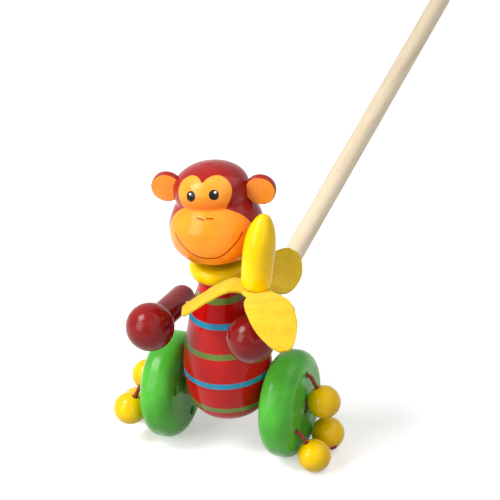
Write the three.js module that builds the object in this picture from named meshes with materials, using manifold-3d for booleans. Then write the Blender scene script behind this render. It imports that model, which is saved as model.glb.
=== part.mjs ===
// Wooden monkey on two wheels, pushed along by a stick. Lengths in millimetres, +Z up.
// The monkey faces -Y, its wheel axle runs along X and the floor lies at height 0 in this layout.
// The finished group is moved so that the centre of the stick's grip knob is the origin.
import * as THREE from 'three';
import { mergeVertices } from 'three/addons/utils/BufferGeometryUtils.js';
import Module from 'manifold-3d';

const wasm = await Module();
wasm.setup();

// Fits between pieces
const gluedClearance = 0.15;
const runningClearance = 0.3;
const seatGap = 0.3;
const cutMargin = 3;
const weldTolerance = 0.0001;
const socketSpare = 0.8;

// Wheels and axle
const wheelRadius = 30.3;
const wheelHalfWidth = 9.8;
const wheelEdgeRadius = 8.5;
const wheelCentreX = 35.4;
const axleRadius = 4.5;
const axleEndInset = 1.2;
const dowelEdge = 0.6;

// Bead tethers: a narrow hole from the outer face opens into a wider one where the inner knot lies
const tetherCircleRadius = 18.4;
const tetherHoleRadius = 1.7;
const tetherNarrowDepth = 4.5;
const tetherWideRadius = 2.5;
const cordRadius = 1.15;
const innerKnotRadius = 2.1;
const endKnotRadius = 2.2;
const knotStandoff = 0.15;
const cordLegLength = 2.2;
const tetherFreeLength = 10.6;
const beadRadius = 9.3;
const beadHoleRadius = 1.6;
const beadKnotSeatRadius = 2.5;
const sunkKnotDepth = 4.6;
const proudKnotDepth = 3.4;
const leftWheelPhaseDegrees = -11;
const rightWheelPhaseDegrees = 66;

// Where each bead rests: turn of its hole from the wheel's top, then along Y, along Z and outwards
const leftBeadRests = [
  { turn: 0, alongY: -0.8, alongZ: -15.6, outwards: 0, knotDepth: sunkKnotDepth },
  { turn: 120, alongY: 0.8, alongZ: -14.6, outwards: 0, knotDepth: sunkKnotDepth },
  { turn: 240, alongY: -8, alongZ: -8.8, outwards: 0, knotDepth: proudKnotDepth },
];
const rightBeadRests = [
  { turn: 0, alongY: -1, alongZ: -16.4, outwards: 0, knotDepth: sunkKnotDepth },
  { turn: 120, alongY: 1.4, alongZ: -2.5, outwards: 6, knotDepth: sunkKnotDepth },
  { turn: 240, alongY: -5.6, alongZ: -14.7, outwards: 0, knotDepth: sunkKnotDepth },
];

// Body: radius and height of the turned barrel
const bodyOutline = [
  [11.7, 22.4],
  [16.3, 24],
  [20.1, 27.6],
  [22.5, 33],
  [24.1, 41],
  [24.8, 51],
  [24, 60],
  [22.4, 69],
  [20.5, 78],
  [18.2, 87],
  [15.4, 95],
  [13.3, 101.5],
  [11.2, 109],
];

// Neck: ring on a dowel
const collarRadius = 16.7;
const collarBottomZ = 109.3;
const collarTopZ = 118.7;
const collarEdgeRadius = 4.3;
const neckDowelRadius = 4;
const neckDowelBottomZ = 90.5;
const neckDowelTopZ = 138;

// Head: radius and height of the turned pear shape along its own axis. The axis leans to the side and
// back through a point above the neck, and the pear is cut flat where it sits on the ring.
const headSeatZ = 119;
const headPivotZ = 142.3;
const headLeanSideDegrees = 6.4;
const headLeanBackDegrees = 6.6;
const headLength = 57.1;
const headOutline = [
  [7, 0],
  [11.4, 2],
  [17.1, 5],
  [21.6, 8.9],
  [24.5, 13.7],
  [25.5, 19.3],
  [25.2, 25.2],
  [23.3, 30.4],
  [21.3, 34.3],
  [19.9, 37.3],
  [20.5, 41.2],
  [20.1, 46],
  [17.5, 50.4],
  [13, 53.7],
  [7.5, 55.8],
  [2.6, 56.7],
];
const headTurnDegrees = 10.9;
const earCentreRadius = 25.4;
const earCentreZ = 162.1;
const earFrontY = -1.3;
const earRadius = 8.3;
const earThickness = 4.3;
const earEdge = 0.7;
const earPinRadius = 1.6;
const earPinInnerX = 12.5;
const earPinOuterX = 27;

// Arms: one dowel through the body carries both
const shoulderZ = 84;
const shoulderDowelRadius = 3;
const shoulderDowelReach = 33.5;
const armCentreX = 29.3;
const armRadius = 7.6;
const leftArmTailLength = 12.5;
const rightArmTailLength = 9.9;
const handReach = 33.7;
const handRadius = 13.3;
const leftArmRiseDegrees = 15;
const rightArmRiseDegrees = 10.7;

// Banana on its peg above the monkey's left hand
const bananaFoot = new THREE.Vector3(30.8, -25.3, 118.4);
const bananaBackTiltDegrees = 14.5;
const bananaSideTiltDegrees = 5.1;
const bananaBow = 0.7;
const bananaLength = 42;
const bananaOutline = [
  [5.8, 0],
  [7.5, 1.6],
  [8.3, 6.1],
  [8.5, 13.3],
  [8.6, 20.4],
  [8.2, 27.3],
  [6.9, 33.4],
  [5.1, 37.6],
  [2.9, 40.7],
];
const bananaPegRadius = 3;
const bananaPegBelowFoot = 24;
const bananaPegAboveFoot = 14;
const felt = { thickness: 1.8, hubRadius: 8.5, seatRadius: 9.2, petalLength: 54, petalWidth: 26.4 };
const petalTwistShare = 1 / 3;
// The share of the petal's length each station lies at, and the share of its width there
const petalWidthShares = [
  [0, 0.58],
  [0.15, 0.5],
  [0.3, 0.83],
  [0.45, 0.95],
  [0.6, 0.94],
  [0.75, 0.85],
  [0.87, 0.62],
  [0.95, 0.4],
  [1, 0.15],
];
// Each petal's heading about the peg, its twist, and its path as outward and upward length shares
const petals = [
  {
    heading: 190.5,
    twist: 2.2,
    pathShares: [[0, 0], [0.192, 0.055], [0.424, -0.062], [0.658, -0.197], [0.837, -0.399]],
  },
  {
    heading: 307.5,
    twist: -4.6,
    pathShares: [[0, 0], [0.194, 0.048], [0.452, 0.083], [0.71, 0.002], [0.948, -0.123]],
  },
  {
    heading: 88.7,
    twist: 23.4,
    pathShares: [[0, 0], [0.189, -0.065], [0.445, -0.113], [0.714, -0.137], [0.983, -0.116]],
  },
];

// Push stick: a dowel from the back of the body, slightly rising
const stickRadius = 6;
const stickRiseDegrees = 5.6;
const stickLineZ = 48.1;
const stickStartY = 5;
const stickLength = 520;
const knobRadius = 15;
const knobSocketDepth = 18;

// Numbers of sides and steps
const bodySides = 36;
const wheelSides = 36;
const headSides = 36;
const beadSides = 18;
const dowelSides = 18;
const armSides = 20;
const earSides = 28;
const cordSides = 8;
const cordSteps = 11;
const knotSides = 8;
const pinSides = 16;
const beadHoleSides = 10;
const bodySteps = 16;
const headSteps = 20;
const bananaSteps = 11;
const beadSteps = 9;
const knotSteps = 4;
const edgeSteps = 4;
const armTailSteps = 3;
const handSteps = 8;
const petalAcross = 2;

const colours = {
  bark: 0x9b2f2a,
  body: 0xb02a24,
  green: 0x4fa03c,
  yellow: 0xf5c518,
  felt: 0xf2d22e,
  orange: 0xf59a35,
  wood: 0xe2c8a4,
  cord: 0x7d1c1c,
};

const radians = THREE.MathUtils.degToRad;

// A closed solid from a surface geometry, with its faces outwards
function toSolid(geometry) {
  const bare = geometry.clone();
  bare.deleteAttribute('normal');
  bare.deleteAttribute('uv');
  const welded = mergeVertices(bare, weldTolerance);
  const position = welded.attributes.position;
  const corners = welded.index.array;
  const kept = [];
  let volume = 0;
  const points = [0, 1, 2].map(() => new THREE.Vector3());
  for (let i = 0; i < corners.length; i += 3) {
    const [a, b, c] = [corners[i], corners[i + 1], corners[i + 2]];
    if (a === b || b === c || c === a) continue;
    kept.push(a, b, c);
    points.forEach((point, k) => point.fromBufferAttribute(position, [a, b, c][k]));
    volume += points[0].dot(points[1].clone().cross(points[2]));
  }
  if (volume < 0) kept.reverse();
  return new wasm.Manifold(new wasm.Mesh({
    numProp: 3,
    vertProperties: new Float32Array(position.array),
    triVerts: new Uint32Array(kept),
  }));
}

function toGeometry(solid) {
  const mesh = solid.getMesh();
  const geometry = new THREE.BufferGeometry();
  geometry.setAttribute('position', new THREE.BufferAttribute(new Float32Array(mesh.vertProperties), 3));
  geometry.setIndex(new THREE.BufferAttribute(new Uint32Array(mesh.triVerts), 1));
  geometry.computeVertexNormals();
  return geometry;
}

// A smooth line of [radius, height] pairs through the given ones
function smoothOutline(pairs, steps) {
  const curve = new THREE.SplineCurve(pairs.map(([r, h]) => new THREE.Vector2(r, h)));
  return curve.getPoints(steps).map((p) => [p.x, p.y]);
}

// A solid turned about Z from [radius, height] pairs, closed on the axis at both ends
function turned(pairs, sides) {
  const closed = [[0, pairs[0][1]], ...pairs, [0, pairs[pairs.length - 1][1]]];
  const points = closed.map(([r, h]) => new THREE.Vector2(r, h));
  return new THREE.LatheGeometry(points, sides).rotateX(Math.PI / 2);
}

// The outline of a disc or dowel with rounded edges, from the low face to the high one
function roundedOutline(radius, low, high, edge, steps) {
  const pairs = [];
  for (let i = 0; i <= steps; i += 1) {
    const angle = (Math.PI / 2) * (i / steps);
    pairs.push([radius - edge + edge * Math.sin(angle), low + edge - edge * Math.cos(angle)]);
  }
  for (let i = 0; i <= steps; i += 1) {
    const angle = (Math.PI / 2) * (i / steps);
    pairs.push([radius - edge + edge * Math.cos(angle), high - edge + edge * Math.sin(angle)]);
  }
  return pairs;
}

// The outline of part of a ball between two angles from its low pole
function ballOutline(radius, centre, fromAngle, toAngle, steps) {
  const pairs = [];
  for (let i = 0; i <= steps; i += 1) {
    const angle = fromAngle + (toAngle - fromAngle) * (i / steps);
    pairs.push([radius * Math.sin(angle), centre - radius * Math.cos(angle)]);
  }
  return pairs;
}

// A ball turned about Z at the origin
function ball(radius, sides, steps) {
  const trim = Math.PI / steps;
  const pairs = ballOutline(radius, 0, trim, Math.PI - trim, steps - 2);
  const closed = [[0, -radius], ...pairs, [0, radius]];
  const points = closed.map(([r, h]) => new THREE.Vector2(r, h));
  return new THREE.LatheGeometry(points, sides).rotateX(Math.PI / 2);
}

// Turns +Z onto a direction and moves the origin to a point
function placement(point, direction) {
  const turn = new THREE.Quaternion();
  turn.setFromUnitVectors(new THREE.Vector3(0, 0, 1), direction.clone().normalize());
  return new THREE.Matrix4().compose(point, turn, new THREE.Vector3(1, 1, 1));
}

// A plain round rod between two points
function rod(radius, start, end, sides) {
  const direction = end.clone().sub(start);
  const length = direction.length();
  const geometry = turned([[radius, 0], [radius, length]], sides);
  return geometry.applyMatrix4(placement(start, direction));
}

// A dowel between two points, its edges slightly rounded
function dowel(radius, start, end, edge, sides) {
  const direction = end.clone().sub(start);
  const outline = roundedOutline(radius, 0, direction.length(), edge, 1);
  return turned(outline, sides).applyMatrix4(placement(start, direction));
}

const along = (point, direction, distance) => point.clone().addScaledVector(direction, distance);

// Shared places
const axleHeight = wheelRadius;
const axleEndX = wheelCentreX + wheelHalfWidth - axleEndInset;
const axleStart = new THREE.Vector3(-axleEndX, 0, axleHeight);
const axleEnd = new THREE.Vector3(axleEndX, 0, axleHeight);
const shoulderStart = new THREE.Vector3(-shoulderDowelReach, 0, shoulderZ);
const shoulderEnd = new THREE.Vector3(shoulderDowelReach, 0, shoulderZ);
const neckStart = new THREE.Vector3(0, 0, neckDowelBottomZ);
const neckEnd = new THREE.Vector3(0, 0, neckDowelTopZ);
const stickRise = radians(stickRiseDegrees);
const stickDirection = new THREE.Vector3(0, Math.cos(stickRise), Math.sin(stickRise));
const stickStart = new THREE.Vector3(0, stickStartY, stickLineZ + stickStartY * Math.tan(stickRise));
const stickEnd = along(stickStart, stickDirection, stickLength);
const knobCentre = along(stickEnd, stickDirection, knobRadius - knobSocketDepth);
const backTilt = radians(bananaBackTiltDegrees);
const sideTilt = radians(bananaSideTiltDegrees);
const bananaAxis = new THREE.Vector3(
  Math.sin(sideTilt),
  Math.sin(backTilt) * Math.cos(sideTilt),
  Math.cos(backTilt) * Math.cos(sideTilt),
);
const pegStart = along(bananaFoot, bananaAxis, -bananaPegBelowFoot);
const pegEnd = along(bananaFoot, bananaAxis, bananaPegAboveFoot);

function makeBody() {
  const outline = smoothOutline(bodyOutline, bodySteps);
  let solid = toSolid(turned(outline, bodySides));
  const axleBore = rod(axleRadius + runningClearance, axleStart, axleEnd, dowelSides);
  const shoulderBore = rod(shoulderDowelRadius + runningClearance, shoulderStart, shoulderEnd, dowelSides);
  const neckFloor = along(neckStart, new THREE.Vector3(0, 0, 1), -socketSpare);
  const neckBore = rod(neckDowelRadius + gluedClearance, neckFloor, neckEnd, dowelSides);
  const stickFloor = along(stickStart, stickDirection, -socketSpare);
  const stickBore = rod(stickRadius + gluedClearance, stickFloor, stickEnd, dowelSides);
  for (const cutter of [axleBore, shoulderBore, neckBore, stickBore]) {
    solid = solid.subtract(toSolid(cutter));
  }
  return toGeometry(solid);
}

function makeCollar() {
  const outline = roundedOutline(collarRadius, collarBottomZ, collarTopZ, collarEdgeRadius, edgeSteps);
  const bore = rod(neckDowelRadius + gluedClearance, neckStart, neckEnd, dowelSides);
  return toGeometry(toSolid(turned(outline, headSides)).subtract(toSolid(bore)));
}

function headSolid(swell) {
  const sideSlope = Math.tan(radians(headLeanSideDegrees));
  const backSlope = Math.tan(radians(headLeanBackDegrees));
  const axis = new THREE.Vector3(-sideSlope, backSlope, 1);
  const start = new THREE.Vector3(0, 0, headPivotZ).addScaledVector(axis, headSeatZ - headPivotZ);
  const outline = smoothOutline(headOutline, headSteps).map(([r, h]) => [r + swell, h]);
  const closed = [[0, 0], ...outline, [0, headLength]];
  const points = closed.map(([r, h]) => new THREE.Vector2(r, h));
  const pear = new THREE.LatheGeometry(points, headSides).rotateX(Math.PI / 2);
  const belowSeat = new THREE.BoxGeometry(headLength, headLength, cutMargin);
  belowSeat.translate(0, 0, headSeatZ - cutMargin / 2);
  return toSolid(pear.applyMatrix4(placement(start, axis))).subtract(toSolid(belowSeat));
}

// Ear pins and ears lie in the head's own upright plane, which is turned a little from the body's
const headTurn = new THREE.Matrix4().makeRotationZ(radians(headTurnDegrees));

function earPin(side, radius, spare) {
  const pinY = earFrontY + earThickness / 2;
  const start = new THREE.Vector3(side * (earPinInnerX - spare), pinY, earCentreZ);
  const end = new THREE.Vector3(side * (earPinOuterX + spare), pinY, earCentreZ);
  return rod(radius, start, end, pinSides).applyMatrix4(headTurn);
}

function makeHead() {
  let solid = headSolid(0);
  const neckTop = along(neckEnd, new THREE.Vector3(0, 0, 1), socketSpare);
  const neckBore = rod(neckDowelRadius + gluedClearance, neckStart, neckTop, dowelSides);
  solid = solid.subtract(toSolid(neckBore));
  for (const side of [1, -1]) {
    solid = solid.subtract(toSolid(earPin(side, earPinRadius + gluedClearance, socketSpare)));
  }
  return toGeometry(solid);
}

function makeEar(side) {
  const outline = roundedOutline(earRadius, 0, earThickness, earEdge, 1);
  const disc = turned(outline, earSides).rotateX(-Math.PI / 2);
  disc.translate(side * earCentreRadius, earFrontY, earCentreZ).applyMatrix4(headTurn);
  let solid = toSolid(disc).subtract(headSolid(seatGap));
  solid = solid.subtract(toSolid(earPin(side, earPinRadius + gluedClearance, socketSpare)));
  return toGeometry(solid);
}

// One arm along -Y from the shoulder, raised at the hand
function armFrame(side, riseDegrees) {
  const rise = new THREE.Matrix4().makeRotationX(-radians(riseDegrees));
  const place = new THREE.Matrix4().makeTranslation(side * armCentreX, 0, shoulderZ);
  return place.multiply(rise);
}

function makeArm(side, riseDegrees, tailLength, cutters) {
  const wristHalf = Math.asin(armRadius / handRadius);
  const tailGap = Math.PI / handSteps;
  const handGap = tailGap / 2;
  const tail = ballOutline(armRadius, -tailLength, tailGap, Math.PI / 2, armTailSteps);
  const hand = ballOutline(handRadius, handReach, wristHalf, Math.PI - handGap, handSteps);
  const low = [0, -tailLength - armRadius];
  const high = [0, handReach + handRadius];
  const points = [low, ...tail, ...hand, high].map(([r, h]) => new THREE.Vector2(r, h));
  const shape = new THREE.LatheGeometry(points, armSides).rotateX(Math.PI);
  let solid = toSolid(shape.applyMatrix4(armFrame(side, riseDegrees)));
  for (const cutter of cutters) {
    solid = solid.subtract(toSolid(cutter));
  }
  return toGeometry(solid);
}

function shoulderSocket() {
  const spare = new THREE.Vector3(socketSpare, 0, 0);
  const start = shoulderStart.clone().sub(spare);
  const end = shoulderEnd.clone().add(spare);
  return rod(shoulderDowelRadius + gluedClearance, start, end, dowelSides);
}

function makeBanana() {
  const outline = smoothOutline(bananaOutline, bananaSteps);
  const closed = [[0, 0], ...outline, [0, bananaLength]];
  const points = closed.map(([r, h]) => new THREE.Vector2(r, h));
  const shape = new THREE.LatheGeometry(points, armSides).rotateX(Math.PI / 2);
  const position = shape.attributes.position;
  for (let i = 0; i < position.count; i += 1) {
    const share = position.getZ(i) / bananaLength;
    position.setX(i, position.getX(i) - bananaBow * 4 * share * (1 - share));
  }
  shape.translate(0, 0, felt.thickness / 2 + seatGap);
  shape.applyMatrix4(placement(bananaFoot, bananaAxis));
  const boreEnd = along(pegEnd, bananaAxis, socketSpare);
  const bore = rod(bananaPegRadius + gluedClearance, pegStart, boreEnd, dowelSides);
  return toGeometry(toSolid(shape).subtract(toSolid(bore)));
}

// The value of a table of [share, value] pairs at one share
function lookUp(table, share) {
  for (let i = 1; i < table.length; i += 1) {
    const [fromShare, fromValue] = table[i - 1];
    const [toShare, toValue] = table[i];
    if (share <= toShare) {
      const part = (share - fromShare) / (toShare - fromShare);
      return fromValue + (toValue - fromValue) * part;
    }
  }
  return table[table.length - 1][1];
}

// One felt petal as a closed strip with an even thickness
function makePetal({ heading, twist, pathShares }) {
  const outward = new THREE.Vector3(Math.cos(radians(heading)), Math.sin(radians(heading)), 0);
  const across = new THREE.Vector3(-outward.y, outward.x, 0);
  const path = new THREE.CatmullRomCurve3(pathShares.map(([out, up]) => {
    const point = outward.clone().multiplyScalar(out * felt.petalLength);
    point.z = up * felt.petalLength;
    return point;
  }));
  const stations = petalWidthShares.map(([share]) => share);
  const top = [];
  const bottom = [];
  for (const share of stations) {
    const centre = path.getPointAt(share).add(bananaFoot);
    const tangent = path.getTangentAt(share);
    const turn = radians(twist) * Math.min(1, share / petalTwistShare);
    const side = across.clone().applyAxisAngle(tangent, turn);
    const normal = tangent.clone().cross(side).normalize();
    const halfWidth = (lookUp(petalWidthShares, share) * felt.petalWidth) / 2;
    for (let j = 0; j <= petalAcross; j += 1) {
      const offset = halfWidth * ((2 * j) / petalAcross - 1);
      const point = along(centre, side, offset);
      top.push(along(point, normal, felt.thickness / 2));
      bottom.push(along(point, normal, -felt.thickness / 2));
    }
  }
  return stripSolid(top, bottom, stations.length, petalAcross + 1);
}

// A closed solid between two matching grids of points
function stripSolid(top, bottom, rows, columns) {
  const points = [...top, ...bottom];
  const under = rows * columns;
  const faces = [];
  const quad = (a, b, c, d) => faces.push(a, b, c, a, c, d);
  for (let i = 0; i < rows - 1; i += 1) {
    for (let j = 0; j < columns - 1; j += 1) {
      const a = i * columns + j;
      quad(a, a + columns, a + columns + 1, a + 1);
      quad(under + a, under + a + 1, under + a + columns + 1, under + a + columns);
    }
    const left = i * columns;
    const right = left + columns - 1;
    quad(left, under + left, under + left + columns, left + columns);
    quad(right, right + columns, under + right + columns, under + right);
  }
  for (let j = 0; j < columns - 1; j += 1) {
    const far = (rows - 1) * columns + j;
    quad(j, j + 1, under + j + 1, under + j);
    quad(far, under + far, under + far + 1, far + 1);
  }
  const geometry = new THREE.BufferGeometry();
  const numbers = points.flatMap((point) => point.toArray());
  geometry.setAttribute('position', new THREE.Float32BufferAttribute(numbers, 3));
  geometry.setIndex(faces);
  return toSolid(geometry);
}

function makePeel() {
  const onPeg = placement(bananaFoot, bananaAxis);
  const half = felt.thickness / 2;
  const hub = turned([[felt.hubRadius, -half], [felt.hubRadius, half]], dowelSides);
  let solid = toSolid(hub.applyMatrix4(onPeg));
  for (const petal of petals) {
    solid = solid.add(makePetal(petal));
  }
  const hole = rod(bananaPegRadius + gluedClearance, pegStart, pegEnd, dowelSides);
  const seat = turned([[felt.seatRadius, half], [felt.seatRadius, felt.petalLength]], dowelSides);
  solid = solid.subtract(toSolid(hole)).subtract(toSolid(seat.applyMatrix4(onPeg)));
  return toGeometry(solid);
}

// The wheel on one side, with its bore and the three stepped tether holes
function tetherMouths(side, phaseDegrees, rests) {
  const faceX = side * (wheelCentreX + wheelHalfWidth);
  return rests.map((rest) => {
    const angle = radians(phaseDegrees + rest.turn);
    const mouth = new THREE.Vector3(
      faceX,
      -tetherCircleRadius * Math.sin(angle),
      axleHeight + tetherCircleRadius * Math.cos(angle),
    );
    const bead = mouth.clone();
    bead.x += side * (beadRadius + seatGap + rest.outwards);
    bead.y += rest.alongY;
    bead.z += rest.alongZ;
    return { side, mouth, bead, knotDepth: rest.knotDepth };
  });
}

function makeWheel(side, tethers) {
  const outline = roundedOutline(wheelRadius, -wheelHalfWidth, wheelHalfWidth, wheelEdgeRadius, edgeSteps);
  const shape = turned(outline, wheelSides).rotateY(Math.PI / 2);
  shape.translate(side * wheelCentreX, 0, axleHeight);
  let solid = toSolid(shape);
  const boreStart = axleStart.clone().setX(axleStart.x - cutMargin);
  const boreEnd = axleEnd.clone().setX(axleEnd.x + cutMargin);
  solid = solid.subtract(toSolid(rod(axleRadius + gluedClearance, boreStart, boreEnd, dowelSides)));
  for (const { mouth } of tethers) {
    const outside = mouth.clone().setX(mouth.x + side * cutMargin);
    const step = mouth.clone().setX(mouth.x - side * tetherNarrowDepth);
    const inside = mouth.clone().setX(mouth.x - side * (2 * wheelHalfWidth + cutMargin));
    solid = solid.subtract(toSolid(rod(tetherHoleRadius, outside, inside, pinSides)));
    solid = solid.subtract(toSolid(rod(tetherWideRadius, step, inside, pinSides)));
  }
  return toGeometry(solid);
}

// The line a tether takes: straight out of the wheel, round a short bend, straight through the bead
function tetherRoute({ side, mouth, bead, knotDepth }) {
  const outwards = new THREE.Vector3(side, 0, 0);
  const corner = along(mouth, outwards, cordLegLength);
  const toBead = bead.clone().sub(corner).normalize();
  const bendEnd = along(corner, toBead, cordLegLength);
  const free = bead.distanceTo(mouth) - beadRadius;
  const slack = tetherFreeLength - free;
  const innerKnot = along(mouth, outwards, -(tetherNarrowDepth + innerKnotRadius + knotStandoff + slack));
  const endKnot = along(bead, toBead, beadRadius - knotDepth + endKnotRadius + knotStandoff);
  return { innerKnot, mouth, corner, bendEnd, endKnot, toBead };
}

function makeTether(tether) {
  const { innerKnot, mouth, corner, bendEnd, endKnot } = tetherRoute(tether);
  const path = new THREE.CurvePath();
  path.add(new THREE.LineCurve3(innerKnot, mouth));
  path.add(new THREE.QuadraticBezierCurve3(mouth, corner, bendEnd));
  path.add(new THREE.LineCurve3(bendEnd, endKnot));
  const section = new THREE.Shape();
  for (let i = 0; i < cordSides; i += 1) {
    const angle = (2 * Math.PI * i) / cordSides;
    const point = [cordRadius * Math.cos(angle), cordRadius * Math.sin(angle)];
    if (i === 0) section.moveTo(...point);
    else section.lineTo(...point);
  }
  section.closePath();
  const tube = new THREE.ExtrudeGeometry(section, { steps: cordSteps, extrudePath: path, curveSegments: 1 });
  let solid = toSolid(tube);
  const knots = [[innerKnot, innerKnotRadius], [endKnot, endKnotRadius]];
  for (const [centre, radius] of knots) {
    solid = solid.add(toSolid(ball(radius, knotSides, knotSteps).translate(centre.x, centre.y, centre.z)));
  }
  return toGeometry(solid);
}

function makeBead(tether) {
  const { toBead } = tetherRoute(tether);
  const shape = ball(beadRadius, beadSides, beadSteps).applyMatrix4(placement(tether.bead, toBead));
  const start = along(tether.bead, toBead, -beadRadius - cutMargin);
  const end = along(tether.bead, toBead, beadRadius + cutMargin);
  const hole = rod(beadHoleRadius, start, end, beadHoleSides);
  const seatFloor = along(tether.bead, toBead, beadRadius - tether.knotDepth);
  const seat = rod(beadKnotSeatRadius, seatFloor, end, beadHoleSides);
  return toGeometry(toSolid(shape).subtract(toSolid(hole)).subtract(toSolid(seat)));
}

function makeKnob() {
  const shape = ball(knobRadius, armSides, beadSteps).applyMatrix4(placement(knobCentre, stickDirection));
  const socketEnd = along(stickEnd, stickDirection, socketSpare);
  const socket = rod(stickRadius + gluedClearance, stickStart, socketEnd, dowelSides);
  return toGeometry(toSolid(shape).subtract(toSolid(socket)));
}

const toy = new THREE.Group();
toy.name = 'push_along_monkey';

function addPiece(name, geometry, colour, roughness) {
  const material = new THREE.MeshStandardMaterial({ color: colour, roughness, metalness: 0 });
  material.name = name;
  const mesh = new THREE.Mesh(geometry, material);
  mesh.name = name;
  toy.add(mesh);
}

const glossy = 0.25;
const plain = 0.6;
const soft = 0.95;

function addDowel(name, radius, start, end) {
  addPiece(name, dowel(radius, start, end, dowelEdge, dowelSides), colours.wood, plain);
}

addPiece('body', makeBody(), colours.body, glossy);
addDowel('neck_dowel', neckDowelRadius, neckStart, neckEnd);
addPiece('neck_collar', makeCollar(), colours.yellow, glossy);
addPiece('head', makeHead(), colours.bark, glossy);
addDowel('axle', axleRadius, axleStart, axleEnd);
addDowel('shoulder_dowel', shoulderDowelRadius, shoulderStart, shoulderEnd);
const pegFloor = along(pegStart, bananaAxis, -socketSpare);
const pegHole = rod(bananaPegRadius + gluedClearance, pegFloor, pegEnd, dowelSides);
const leftArm = makeArm(1, leftArmRiseDegrees, leftArmTailLength, [shoulderSocket(), pegHole]);
const rightArm = makeArm(-1, rightArmRiseDegrees, rightArmTailLength, [shoulderSocket()]);
addPiece('arm_left', leftArm, colours.bark, glossy);
addPiece('arm_right', rightArm, colours.bark, glossy);
addDowel('banana_peg', bananaPegRadius, pegStart, pegEnd);
addPiece('banana', makeBanana(), colours.yellow, glossy);
addPiece('banana_peel', makePeel(), colours.felt, soft);
addDowel('push_stick', stickRadius, stickStart, stickEnd);
addPiece('stick_knob', makeKnob(), colours.wood, plain);

const sides = [
  { label: 'left', side: 1, phase: leftWheelPhaseDegrees, rests: leftBeadRests },
  { label: 'right', side: -1, phase: rightWheelPhaseDegrees, rests: rightBeadRests },
];
for (const { label, side, phase, rests } of sides) {
  const tethers = tetherMouths(side, phase, rests);
  addPiece(`wheel_${label}`, makeWheel(side, tethers), colours.green, glossy);
  addPiece(`ear_${label}`, makeEar(side), colours.orange, glossy);
  addPiece(`ear_pin_${label}`, earPin(side, earPinRadius, 0), colours.wood, plain);
  tethers.forEach((tether, index) => {
    addPiece(`tether_${label}_${index + 1}`, makeTether(tether), colours.cord, soft);
    addPiece(`bead_${label}_${index + 1}`, makeBead(tether), colours.yellow, glossy);
  });
}

toy.position.copy(knobCentre).negate();
toy.updateMatrixWorld(true);

export default toy;
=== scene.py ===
from math import asin, cos, degrees, pi, radians, sin, tan

import bmesh
import bpy
import numpy as np
from mathutils import Matrix, Quaternion, Vector


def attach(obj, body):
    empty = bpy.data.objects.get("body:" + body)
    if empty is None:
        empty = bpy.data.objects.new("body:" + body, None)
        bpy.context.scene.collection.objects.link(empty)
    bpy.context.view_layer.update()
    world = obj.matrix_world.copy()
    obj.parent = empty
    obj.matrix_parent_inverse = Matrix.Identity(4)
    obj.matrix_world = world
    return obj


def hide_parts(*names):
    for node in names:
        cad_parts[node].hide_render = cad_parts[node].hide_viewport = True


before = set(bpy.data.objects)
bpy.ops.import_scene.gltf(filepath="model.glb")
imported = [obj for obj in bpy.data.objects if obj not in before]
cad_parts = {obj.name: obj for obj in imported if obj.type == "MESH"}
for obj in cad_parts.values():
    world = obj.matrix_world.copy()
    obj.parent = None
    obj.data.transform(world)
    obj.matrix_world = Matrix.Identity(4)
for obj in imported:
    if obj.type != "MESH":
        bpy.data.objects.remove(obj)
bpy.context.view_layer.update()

MM = 0.001
# The row's origin: the middle of the knob at the end of the stick
KNOB = Vector((0.0, 519.5326, 99.0406))
# Carries a place in the toy's layout to the row frame, in metres
TO_ROW = Matrix.Translation(-KNOB * MM) @ Matrix.Scale(MM, 4)
SEED = 7


def set_up(thing, **settings):
    for key, value in settings.items():
        setattr(thing, key, value)
    return thing


def in_scene(name, data):
    thing = bpy.data.objects.new(name, data)
    bpy.context.scene.collection.objects.link(thing)
    return thing


# Camera
CAMERA_PLACE = Vector((424.453, -939.597, 741.424))
CAMERA_LOOK = Vector((-0.3400886, 0.7869887, -0.5147704))
CAMERA_ROLL = -4.3435
CAMERA_FOCAL = 2228.3475
PHOTO_SIDE = 500
SENSOR = 36.0
# Metres
CLIP_NEAR = 0.05
CLIP_FAR = 30


def make_camera():
    look = CAMERA_LOOK.normalized()
    right = look.cross(Vector((0, 0, 1))).normalized()
    up = right.cross(look)
    turn = radians(CAMERA_ROLL)
    turned_right = right * cos(turn) + up * sin(turn)
    turned_up = up * cos(turn) - right * sin(turn)
    data = bpy.data.cameras.new("camera")
    lens = CAMERA_FOCAL * SENSOR / PHOTO_SIDE
    set_up(data, sensor_width=SENSOR, lens=lens, clip_start=CLIP_NEAR, clip_end=CLIP_FAR)
    camera = in_scene("camera", data)
    axes = Matrix((turned_right, turned_up, -look)).transposed()
    camera.matrix_world = Matrix.Translation((CAMERA_PLACE - KNOB) * MM) @ axes.to_4x4()
    bpy.context.scene.camera = camera
    return turned_right, turned_up, look


VIEW_RIGHT, VIEW_UP, VIEW_LOOK = make_camera()


# Lines and curves
def hermite(start, end, slope_in, slope_out, t):
    """A point of the cubic curve between two points with given slopes."""
    cubic = 2 * start - 2 * end + slope_in + slope_out
    square = -3 * start + 3 * end - 2 * slope_in - slope_out
    return cubic * t**3 + square * t**2 + slope_in * t + start


def bent(first, corner, second, t):
    """A point of the bend that rounds off a corner."""
    return first * (1 - t) ** 2 + corner * 2 * t * (1 - t) + second * t**2


def smooth_line(pairs, steps):
    """Catmull-Rom line through the pairs, in the same way as the CAD outline."""
    points = np.array(pairs, float)
    last = len(points) - 1
    place = np.linspace(0, last, steps + 1)
    low = np.minimum(place.astype(int), last - 1)
    before, start, end, after = (points[np.clip(low + k, 0, last)] for k in (-1, 0, 1, 2))
    line = hermite(start, end, (end - before) / 2, (after - start) / 2, (place - low)[:, None])
    return [tuple(p) for p in line]


def rounded_loop(points, steps=12):
    """A smooth closed line through the points."""
    before, start, end, after = (np.roll(points, k, axis=0)[:, None] for k in (1, 0, -1, -2))
    t = np.arange(steps)[:, None] / steps
    return hermite(start, end, (end - before) / 2, (after - start) / 2, t).reshape(-1, 2)


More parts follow.
